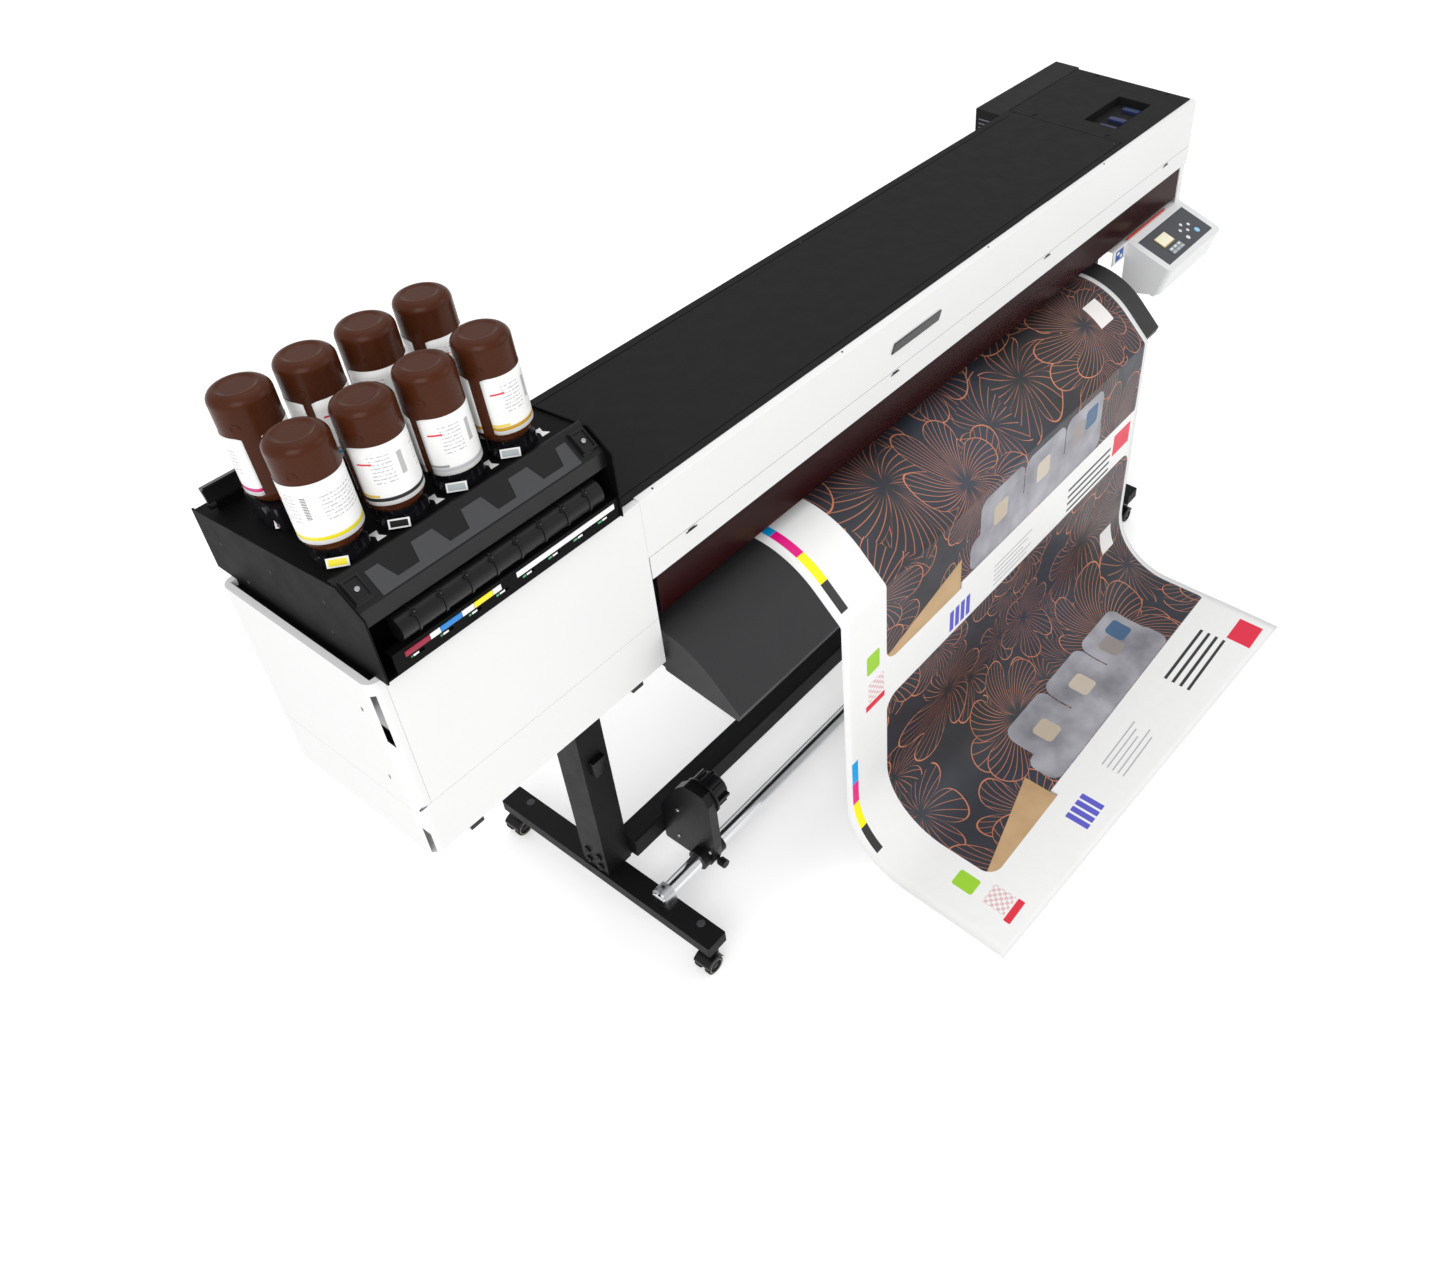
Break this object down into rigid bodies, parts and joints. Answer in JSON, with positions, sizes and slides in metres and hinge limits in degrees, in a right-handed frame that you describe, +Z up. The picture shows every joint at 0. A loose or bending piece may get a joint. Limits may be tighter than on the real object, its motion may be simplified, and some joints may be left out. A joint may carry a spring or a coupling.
{
  "type": "roll to roll inkjet printer",
  "caption": "Floor-standing large-format roll printer with an ink bottle unit on the left, a folding front door, a curved apron and a take-up unit on a castered stand.",
  "frame": {"origin": "on the floor, at the centre of the bounding box", "axes": "+X to the right along the printer seen from its front, +Y to the rear, +Z up"},
  "size_m": [2.775, 1.283, 1.6423],
  "materials": {
    "white_cover": "satin",
    "black_steel": "fine textured satin",
    "black_bolt": "satin",
    "chromed_tube": "polished",
    "zinc_casting": "cast",
    "black_casting": "satin",
    "black_plastic": "matt",
    "rail_aluminium": "satin",
    "platen_aluminium": "dark anodised",
    "apron_steel": "satin",
    "steel_shaft": "ground",
    "pinch_steel": "dull",
    "carriage_plastic": "matt",
    "media_paper": "coated",
    "black_lid": "satin",
    "tinted_window": "clear tinted",
    "white_plastic": "satin",
    "panel_grey": "satin",
    "key_white": "satin",
    "key_blue": "satin",
    "collar_plastic": "gloss",
    "bottle_plastic": "semi-gloss",
    "caster_rubber": "matt"
  },
  "bodies": {
    "frame": {"leg_left": "black_steel", "leg_right": "black_steel", "cross_beam": "black_steel", "stand_bolts": "black_bolt", "take_up_rail": "chromed_tube", "take_up_rail_clamps": "zinc_casting", "chassis_beam": "black_steel", "carriage_beam": "rail_aluminium", "platen": "platen_aluminium", "front_apron": "apron_steel", "roll_holders": "black_steel", "media_sheet": "media_paper", "left_side_cover": "white_cover", "left_front_panel": "white_cover", "left_skirt": "white_cover", "right_side_cover": "white_cover", "front_cover": "white_cover", "top_lid": "black_lid", "right_top_plate": "black_lid", "rear_cover": "white_cover", "electrics_box": "black_steel", "panel_housing": "white_plastic", "panel_face": "panel_grey", "ink_tray": "black_steel", "tray_ledge": "black_plastic", "tube_cover": "black_plastic", "bottle_collars": "collar_plastic"},
    "caster_front_left": {"caster_fork_front_left": "black_plastic"},
    "wheels_front_left": {"caster_wheels_front_left": "caster_rubber"},
    "caster_rear_left": {"caster_fork_rear_left": "black_plastic"},
    "wheels_rear_left": {"caster_wheels_rear_left": "caster_rubber"},
    "caster_front_right": {"caster_fork_front_right": "black_plastic"},
    "wheels_front_right": {"caster_wheels_front_right": "caster_rubber"},
    "caster_rear_right": {"caster_fork_rear_right": "black_plastic"},
    "wheels_rear_right": {"caster_wheels_rear_right": "caster_rubber"},
    "take_up_left": {"take_up_bracket_left": "black_casting"},
    "hub_left": {"take_up_hub_left": "black_plastic"},
    "take_up_right": {"take_up_bracket_right": "black_casting"},
    "hub_right": {"take_up_hub_right": "black_plastic"},
    "door": {"door_panel": "white_cover", "door_window": "tinted_window"},
    "carriage": {"print_carriage": "carriage_plastic"},
    "grit": {"grit_roller": "steel_shaft"},
    "pinch": {"pinch_bar": "pinch_steel"},
    "roll": {"media_roll": "media_paper"},
    "up_key": {"key_up": "key_white"},
    "down_key": {"key_down": "key_white"},
    "left_key": {"key_left": "key_white"},
    "right_key": {"key_right": "key_white"},
    "enter_key": {"key_enter": "key_blue"},
    "end_key": {"key_end": "key_white"},
    "bottle_1": {"ink_bottle_1": "bottle_plastic"},
    "bottle_2": {"ink_bottle_2": "bottle_plastic"},
    "bottle_3": {"ink_bottle_3": "bottle_plastic"},
    "bottle_4": {"ink_bottle_4": "bottle_plastic"},
    "bottle_5": {"ink_bottle_5": "bottle_plastic"},
    "bottle_6": {"ink_bottle_6": "bottle_plastic"},
    "bottle_7": {"ink_bottle_7": "bottle_plastic"},
    "bottle_8": {"ink_bottle_8": "bottle_plastic"},
    "flap": {"bottle_flap": "black_plastic"}
  },
  "joints": [
    {"name": "caster_front_left_swivel", "type": "hinge", "parent": "frame", "child": "caster_front_left", "pos_m": [-0.934, -0.0235, 0.078], "axis": [0, 0, 1], "continuous": true},
    {"name": "wheels_front_left_roll", "type": "hinge", "parent": "caster_front_left", "child": "wheels_front_left", "pos_m": [-0.948, -0.0235, 0.023], "axis": [0, 1, 0], "continuous": true},
    {"name": "caster_rear_left_swivel", "type": "hinge", "parent": "frame", "child": "caster_rear_left", "pos_m": [-0.934, 0.6175, 0.078], "axis": [0, 0, 1], "continuous": true},
    {"name": "wheels_rear_left_roll", "type": "hinge", "parent": "caster_rear_left", "child": "wheels_rear_left", "pos_m": [-0.948, 0.6175, 0.023], "axis": [0, 1, 0], "continuous": true},
    {"name": "caster_front_right_swivel", "type": "hinge", "parent": "frame", "child": "caster_front_right", "pos_m": [1.035, -0.0235, 0.078], "axis": [0, 0, 1], "continuous": true},
    {"name": "wheels_front_right_roll", "type": "hinge", "parent": "caster_front_right", "child": "wheels_front_right", "pos_m": [1.021, -0.0235, 0.023], "axis": [0, 1, 0], "continuous": true},
    {"name": "caster_rear_right_swivel", "type": "hinge", "parent": "frame", "child": "caster_rear_right", "pos_m": [1.035, 0.6175, 0.078], "axis": [0, 0, 1], "continuous": true},
    {"name": "wheels_rear_right_roll", "type": "hinge", "parent": "caster_rear_right", "child": "wheels_rear_right", "pos_m": [1.021, 0.6175, 0.023], "axis": [0, 1, 0], "continuous": true},
    {"name": "take_up_left_slide", "type": "slide", "parent": "frame", "child": "take_up_left", "axis": [1, 0, 0], "range_m": [-0.08, 0.5]},
    {"name": "hub_left_turn", "type": "hinge", "parent": "take_up_left", "child": "hub_left", "pos_m": [-0.7975, 0.1165, 0.338], "axis": [1, 0, 0], "continuous": true},
    {"name": "take_up_right_slide", "type": "slide", "parent": "frame", "child": "take_up_right", "axis": [-1, 0, 0], "range_m": [-0.08, 0.5]},
    {"name": "hub_right_turn", "type": "hinge", "parent": "take_up_right", "child": "hub_right", "pos_m": [0.8985, 0.1165, 0.338], "axis": [1, 0, 0], "continuous": true},
    {"name": "door_open", "type": "hinge", "parent": "frame", "child": "door", "pos_m": [0.0505, 0.0965, 1.118], "axis": [-1, 0, 0], "range_deg": [0, 85]},
    {"name": "carriage_travel", "type": "slide", "parent": "frame", "child": "carriage", "axis": [-1, 0, 0], "range_m": [0, 1.75]},
    {"name": "grit_turn", "type": "hinge", "parent": "frame", "child": "grit", "pos_m": [0.0505, 0.3065, 0.9127], "axis": [1, 0, 0], "continuous": true},
    {"name": "pinch_lift", "type": "hinge", "parent": "frame", "child": "pinch", "pos_m": [0.0505, 0.3715, 0.985], "axis": [-1, 0, 0], "range_deg": [0, 8]},
    {"name": "roll_turn", "type": "hinge", "parent": "frame", "child": "roll", "pos_m": [0.0505, 0.5645, 0.6], "axis": [1, 0, 0], "continuous": true},
    {"name": "key_up_press", "type": "slide", "parent": "frame", "child": "up_key", "axis": [0, 0.3206, -0.9472], "range_m": [0, 0.0008], "stiffness_N_per_m": 300},
    {"name": "key_down_press", "type": "slide", "parent": "frame", "child": "down_key", "axis": [0, 0.3206, -0.9472], "range_m": [0, 0.0008], "stiffness_N_per_m": 300},
    {"name": "key_left_press", "type": "slide", "parent": "frame", "child": "left_key", "axis": [0, 0.3206, -0.9472], "range_m": [0, 0.0008], "stiffness_N_per_m": 300},
    {"name": "key_right_press", "type": "slide", "parent": "frame", "child": "right_key", "axis": [0, 0.3206, -0.9472], "range_m": [0, 0.0008], "stiffness_N_per_m": 300},
    {"name": "key_enter_press", "type": "slide", "parent": "frame", "child": "enter_key", "axis": [0, 0.3206, -0.9472], "range_m": [0, 0.0008], "stiffness_N_per_m": 300},
    {"name": "key_end_press", "type": "slide", "parent": "frame", "child": "end_key", "axis": [0, 0.3206, -0.9472], "range_m": [0, 0.0008], "stiffness_N_per_m": 300},
    {"name": "bottle_1_lift", "type": "slide", "parent": "frame", "child": "bottle_1", "axis": [0, 0.061, 0.9981], "range_m": [0, 0.1]},
    {"name": "bottle_2_lift", "type": "slide", "parent": "frame", "child": "bottle_2", "axis": [0, 0.061, 0.9981], "range_m": [0, 0.1]},
    {"name": "bottle_3_lift", "type": "slide", "parent": "frame", "child": "bottle_3", "axis": [0, 0.061, 0.9981], "range_m": [0, 0.1]},
    {"name": "bottle_4_lift", "type": "slide", "parent": "frame", "child": "bottle_4", "axis": [0, 0.061, 0.9981], "range_m": [0, 0.1]},
    {"name": "bottle_5_lift", "type": "slide", "parent": "frame", "child": "bottle_5", "axis": [0, 0.061, 0.9981], "range_m": [0, 0.1]},
    {"name": "bottle_6_lift", "type": "slide", "parent": "frame", "child": "bottle_6", "axis": [0, 0.061, 0.9981], "range_m": [0, 0.1]},
    {"name": "bottle_7_lift", "type": "slide", "parent": "frame", "child": "bottle_7", "axis": [0, 0.061, 0.9981], "range_m": [0, 0.1]},
    {"name": "bottle_8_lift", "type": "slide", "parent": "frame", "child": "bottle_8", "axis": [0, 0.061, 0.9981], "range_m": [0, 0.1]},
    {"name": "flap_fold", "type": "hinge", "parent": "frame", "child": "flap", "pos_m": [-1.3195, 0.4815, 1.40453], "axis": [1, 0, 0], "range_deg": [-60, 100]}
  ],
  "couplings": [
    {"joint": "roll_turn", "follows": "grit_turn", "ratio": -0.18462}
  ]
}
